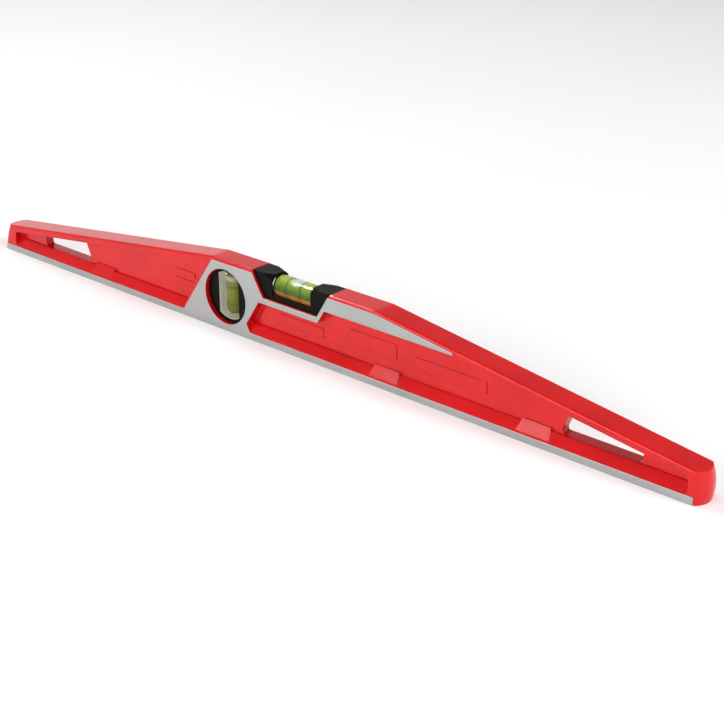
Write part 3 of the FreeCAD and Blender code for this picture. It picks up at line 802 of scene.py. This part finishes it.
class Vial:
    """A vial with its fluid and its two reading rings."""

    def __init__(self, prefix: str, along: Along, sizes: VialSizes) -> None:
        """Reads the vial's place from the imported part.

        Args:
            prefix: start of the names of the vial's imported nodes.
            along: direction of the vial's axis.
            sizes: its shape.
        """
        self.prefix = prefix
        self.along = along
        self.sizes = sizes
        low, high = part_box(f"{prefix}_tube")
        self.centre = (low + high) / 2
        spans = high - low
        self.length = spans.x if along is Along.X else spans.z
        self.radius = spans.y / 2
        self.direction = along.value.to_3x3() @ Vector((0, 0, 1))

    def rod(
        self, tree: TurnedRod, name: str, ends: tuple[float, float], radius: float, bulge: float,
        rounds: tuple[float, float], material: bpy.types.Material,
    ) -> bpy.types.Object:
        """Makes a turned piece on the vial's axis.

        Args:
            tree: the tree that turns rods.
            name: the piece's name.
            ends: its two ends, from the middle of the vial.
            radius: at its ends, before rounding.
            bulge: how much wider it is in the middle.
            rounds: rounding of its two ends.
            material: its finish.

        Returns:
            The piece.
        """
        mesh = tree.mesh(name, {
            "Length": ends[1] - ends[0], "Radius": radius, "Bulge": bulge,
            "Lower Round": rounds[0], "Upper Round": rounds[1],
            "Steps": self.sizes.steps, "Sides": self.sizes.sides, "Finish": material,
        })
        return place_mesh(mesh, name, self.along, self.centre + self.direction * ends[0])

    def build_body(self, tree: TurnedRod) -> None:
        """Makes the clear tube and its plug as the one clear body that they look like.

        Args:
            tree: the tree that turns rods.
        """
        marks = Vector((40, 900, 900)) if self.along is Along.X else Vector((900, 900, 40))
        material = ClearAcrylic(f"{self.prefix}_acrylic", marks, self.sizes.bending).material()
        half = self.length / 2
        rounds = (self.sizes.end_round, self.sizes.end_round)
        piece = self.rod(tree, f"{self.prefix}_glass", (-half, half), self.radius, 0.0, rounds, material)
        seat(piece, Body.LEVEL, Slot.ACRYLIC, f"{self.prefix}_tube", f"{self.prefix}_plug")

    def build_fluid(self, tree: TurnedRod, spirit: VialFluid) -> None:
        """Fills the cavity. The bubble lies in the fluid, so nothing stays behind when it moves.

        Args:
            tree: the tree that turns rods.
            spirit: the fluid's finish.
        """
        half = self.length / 2
        low, high = self.sizes.cavity_inset
        reach = self.sizes.cavity_radius if self.along is Along.X else half
        material = spirit.material(self.centre.z - reach, self.centre.z + reach)
        piece = self.rod(
            tree, f"{self.prefix}_spirit", (-half + low, half - high), self.sizes.cavity_radius,
            self.sizes.bulge, self.sizes.cavity_round, material,
        )
        seat(piece, Body.LEVEL, Slot.FLUID, f"{self.prefix}_fluid")

    def build_rings(self, tree: ReadingRings, material: bpy.types.Material) -> None:
        """Prints the reading rings.

        Args:
            tree: the tree that makes rings.
            material: their ink.
        """
        low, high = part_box(f"{self.prefix}_rings")
        span = (high - low).dot(self.direction)
        outer = self.radius + self.sizes.ring_stand
        mesh = tree.mesh(f"{self.prefix}_reading_rings", {
            "Count": 2, "Sides": self.sizes.sides, "Spacing": span - self.sizes.ring_width,
            "Radius": outer - self.sizes.ring_depth / 2, "Band Width": self.sizes.ring_width,
            "Band Depth": self.sizes.ring_depth, "Finish": material,
        })
        piece = place_mesh(mesh, f"{self.prefix}_reading_rings", self.along, (low + high) / 2)
        seat(piece, Body.LEVEL, Slot.INK, f"{self.prefix}_rings")


@dataclass
class LensBubble:
    """The level vial's bubble: a flat lens pressed up against the barrel of the vial."""

    vial: Vial
    stand: float = 0.06 * MM
    rim_sink: float = 0.8
    flatness: float = 0.45
    detail: int = 5

    def build(self) -> None:
        """Shapes the bubble and puts it on its own body."""
        low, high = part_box("top_vial_bubble")
        half = (high - low) / 2
        centre = (low + high) / 2
        crown = self.vial.sizes.cavity_radius + self.vial.sizes.bulge + self.stand
        shape = bmesh.new()
        bmesh.ops.create_icosphere(shape, subdivisions=self.detail, radius=1.0)
        for vert in shape.verts:
            a, b, c = vert.co
            across = half.y * b
            wall = self.vial.centre.z + math.sqrt(crown * crown - across * across)
            sunk = self.stand * self.rim_sink * min(1.0, 1.0 - c)
            depth = sunk + (2 * half.z * abs(c) ** self.flatness if c < 0 else 0.0)
            vert.co = Vector((centre.x + half.x * a, centre.y + across, wall - depth))
        mesh = bpy.data.meshes.new("top_vial_air")
        shape.to_mesh(mesh)
        shape.free()
        mesh.shade_smooth()
        # Its material paints light on the bubble's top and shade under it.
        mesh.materials.append(VialBubble("top_bubble_with_painted_light").material())
        piece = place_mesh(mesh, "top_vial_air", Along.Z, Vector())
        seat(piece, Body.TOP_BUBBLE, Slot.BUBBLE, "top_vial_bubble")


@dataclass
class TallBubble:
    """The plumb vial's bubble: it fills the top of the tube over a curved meniscus."""

    vial: Vial
    stand: float = 0.03 * MM
    lower_round: float = 1.9 * MM
    upper_round: float = 0.5 * MM

    def build(self, tree: TurnedRod) -> None:
        """Turns the bubble and puts it on its own body.

        Args:
            tree: the tree that turns rods.
        """
        low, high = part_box("plumb_vial_bubble")
        ends = low.z - self.vial.centre.z, high.z - self.vial.centre.z
        # Pale painted light above and darker painted shade under the meniscus; 0.30 of it stays clear.
        material = VialBubble("plumb_bubble_with_painted_light", (0.42, 0.44, 0.40), (0.14, 0.15, 0.09), 0.30).material()
        piece = self.vial.rod(
            tree, "plumb_vial_air", ends, self.vial.sizes.cavity_radius + self.stand, 0.0,
            (self.lower_round, self.upper_round), material,
        )
        seat(piece, Body.PLUMB_BUBBLE, Slot.BUBBLE, "plumb_vial_bubble")


@dataclass
class LevelVialUnit:
    """The vial in the notch, with the strip under it."""

    sizes: VialSizes = field(default_factory=lambda: VialSizes(
        end_round=0.7 * MM, cavity_radius=5.3 * MM, bulge=0.2 * MM, cavity_inset=(4.3 * MM, 4.3 * MM),
        cavity_round=(1.0 * MM, 0.6 * MM), bending=1.24,
    ))
    # Painted light and shade: orange at the bottom is a painted reflection of the orange strip below, the
    # dark green above it is painted shade, and the greens lighten upwards as painted light. 0.05 is the
    # strength of a painted glow.
    spirit: VialFluid = VialFluid("level_spirit_with_painted_light", (
        (0.0, (0.55, 0.20, 0.05)), (0.24, (0.52, 0.22, 0.05)), (0.36, (0.045, 0.095, 0.018)),
        (0.60, (0.065, 0.14, 0.022)), (0.82, (0.16, 0.26, 0.035)), (1.0, (0.34, 0.42, 0.07)),
    ), 0.05, 0.30)
    # The strip's glow is a painted glow that stands in for its fluorescence; the strip is no lamp.
    strip: CoatedFilm = CoatedFilm(
        "orange_strip_with_painted_glow", (0.90, 0.20, 0.015), (0.95, 0.30, 0.03), painted_glow=0.12,
    )

    def build(self, rods: TurnedRod, rings: ReadingRings, ink: bpy.types.Material) -> None:
        """Builds the vial and dresses the strip under it.

        Args:
            rods: the tree that turns rods.
            rings: the tree that makes reading rings.
            ink: the rings' finish.
        """
        vial = Vial("top_vial", Along.X, self.sizes)
        vial.build_body(rods)
        vial.build_fluid(rods, self.spirit)
        vial.build_rings(rings, ink)
        LensBubble(vial).build()
        dress("top_vial_reflector", self.strip.material())


@dataclass
class PlumbVialUnit:
    """The vial in the round window, with its white liner."""

    sizes: VialSizes = field(default_factory=lambda: VialSizes(
        end_round=0.6 * MM, cavity_radius=4.7 * MM, bulge=0.0, cavity_inset=(2.2 * MM, 2.7 * MM),
        cavity_round=(2.6 * MM, 0.4 * MM), bending=1.24,
    ))
    # Painted shade and light: dark olive overall for the shaded housing behind the vial, darker at the bottom
    # and lighter at the top. 0.04 is the strength of a painted glow.
    spirit: VialFluid = VialFluid("plumb_spirit_with_painted_light", (
        (0.0, (0.15, 0.155, 0.025)), (0.3, (0.18, 0.185, 0.03)), (1.0, (0.25, 0.27, 0.035)),
    ), 0.04, 0.35)
    liner: MouldedPlastic = MouldedPlastic(
        "white_moulding_finish", (0.80, 0.77, 0.68), (0.74, 0.71, 0.62), gloss=(0.38, 0.5), inner_glow=0.15,
    )

    def build(self, rods: TurnedRod, rings: ReadingRings, ink: bpy.types.Material) -> None:
        """Builds the vial and dresses the liner.

        Args:
            rods: the tree that turns rods.
            rings: the tree that makes reading rings.
            ink: the rings' finish.
        """
        vial = Vial("plumb_vial", Along.Z, self.sizes)
        vial.build_body(rods)
        vial.build_fluid(rods, self.spirit)
        vial.build_rings(rings, ink)
        TallBubble(vial).build(rods)
        dress("plumb_liner", self.liner.material())


@dataclass
class Compound:
    """The setting compound that locks both vials."""

    finish: MouldedPlastic = MouldedPlastic(
        "setting_compound_finish", (0.62, 0.60, 0.53), (0.50, 0.48, 0.42), gloss=(0.5, 0.65),
        texture_depth=0.03 * MM,
    )
    nodes: tuple[str, ...] = ("top_vial_bedding", "plumb_vial_bedding")

    def build(self) -> None:
        """Dresses the compound."""
        material = self.finish.material()
        for node in self.nodes:
            dress(node, material)


# ---- studio ----

@dataclass(frozen=True)
class Softbox:
    """One large soft lamp."""

    name: str
    place: tuple[float, float, float]
    width: float
    height: float
    watts: float

    def build(self) -> None:
        """Hangs the lamp, turned towards the middle of the level."""
        lamp = bpy.data.lights.new(self.name, "AREA")
        lamp.shape = "RECTANGLE"
        lamp.size, lamp.size_y = self.width, self.height
        lamp.energy = self.watts
        holder = bpy.data.objects.new(self.name, lamp)
        holder.location = self.place
        holder.rotation_euler = (-Vector(self.place)).to_track_quat("-Z", "Y").to_euler()
        bpy.context.scene.collection.objects.link(holder)


@dataclass
class Studio:
    """Pale floor, soft light and the camera."""

    floor_half: float = 6.0
    azimuth: float = math.radians(41.786)
    elevation: float = math.radians(24.180)
    camera_place: tuple[float, float, float] = (0.6216, -0.6331, 0.3887)
    lens: float = 74.9
    lamps: tuple[Softbox, ...] = (
        Softbox("key_softbox", (-0.6, -2.3, 0.95), 2.2, 1.2, 38.0),
        Softbox("side_softbox", (1.9, 0.1, 1.5), 1.4, 1.2, 38.0),
        Softbox("edge_strip", (-1.25, 0.05, 1.55), 0.9, 0.06, 14.0),
    )
    sky: tuple[tuple[float, float], ...] = ((0.0, 1.05), (0.20, 1.0), (0.42, 0.55), (0.56, 0.22), (1.0, 0.22))

    def build(self) -> None:
        """Sets up the floor, the light and the camera."""
        self._floor()
        self._sky()
        for lamp in self.lamps:
            lamp.build()
        self._camera()
        bpy.context.scene.view_settings.view_transform = "Standard"

    def _floor(self) -> None:
        """Lays the floor."""
        half = self.floor_half
        mesh = bpy.data.meshes.new("floor")
        corners = [(-half, -half, 0), (half, -half, 0), (half, half, 0), (-half, half, 0)]
        mesh.from_pydata(corners, [], [(0, 1, 2, 3)])
        s = SurfaceBench("pale_floor")
        cloud = s.noise(0.4, 3)
        s.principled(
            Base_Color=s.blend(s.remap(cloud, 0.3, 0.7), (0.93, 0.93, 0.93), (0.95, 0.95, 0.95)),
            Roughness=s.remap(cloud, 0.3, 0.7, 0.7, 0.8), Normal=s.relief(s.noise(2 * MM), 0.01 * MM),
        )
        mesh.materials.append(s.material)
        place_mesh(mesh, "floor", Along.Z, Vector())

    def _sky(self) -> None:
        """Lights the studio: bright low down, dim overhead."""
        world = bpy.data.worlds.new("studio")
        world.use_nodes = True
        bpy.context.scene.world = world
        s = Bench(world.node_tree)
        output = s.add("ShaderNodeOutputWorld")
        towards = s.add("ShaderNodeTexCoord").outputs["Generated"]
        up = s.add("ShaderNodeSeparateXYZ", Vector=towards).outputs[2]
        greys = tuple((where, (level, level, level)) for where, level in self.sky)
        shade = s.ramp(s.maths("ABSOLUTE", up), greys)
        light = s.add("ShaderNodeBackground", Color=shade, Strength=1.0)
        s.tree.links.new(light.outputs[0], output.inputs[0])

    def _camera(self) -> None:
        """Points the camera at the level from above its right front."""
        camera = bpy.data.cameras.new("camera")
        camera.lens = self.lens
        camera.sensor_width = 36.0
        camera.clip_start = 0.01
        holder = bpy.data.objects.new("camera", camera)
        turn = Matrix.Rotation(self.azimuth, 4, "Z") @ Matrix.Rotation(math.pi / 2 - self.elevation, 4, "X")
        holder.matrix_world = Matrix.Translation(self.camera_place) @ turn
        bpy.context.scene.collection.objects.link(holder)
        bpy.context.scene.camera = holder


def main() -> None:
    """Builds every piece in order."""
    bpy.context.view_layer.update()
    rods, rings = TurnedRod(), ReadingRings()
    ink = CoatedFilm("ring_ink_finish", (0.008, 0.008, 0.008), (0.02, 0.02, 0.02)).material()
    Casting().build()
    BlackMouldings().build()
    LevelVialUnit().build(rods, rings, ink)
    PlumbVialUnit().build(rods, rings, ink)
    Compound().build()
    Studio().build()
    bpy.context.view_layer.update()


if __name__ == "__main__":
    logging.basicConfig(level=logging.INFO, format="%(message)s")
    main()
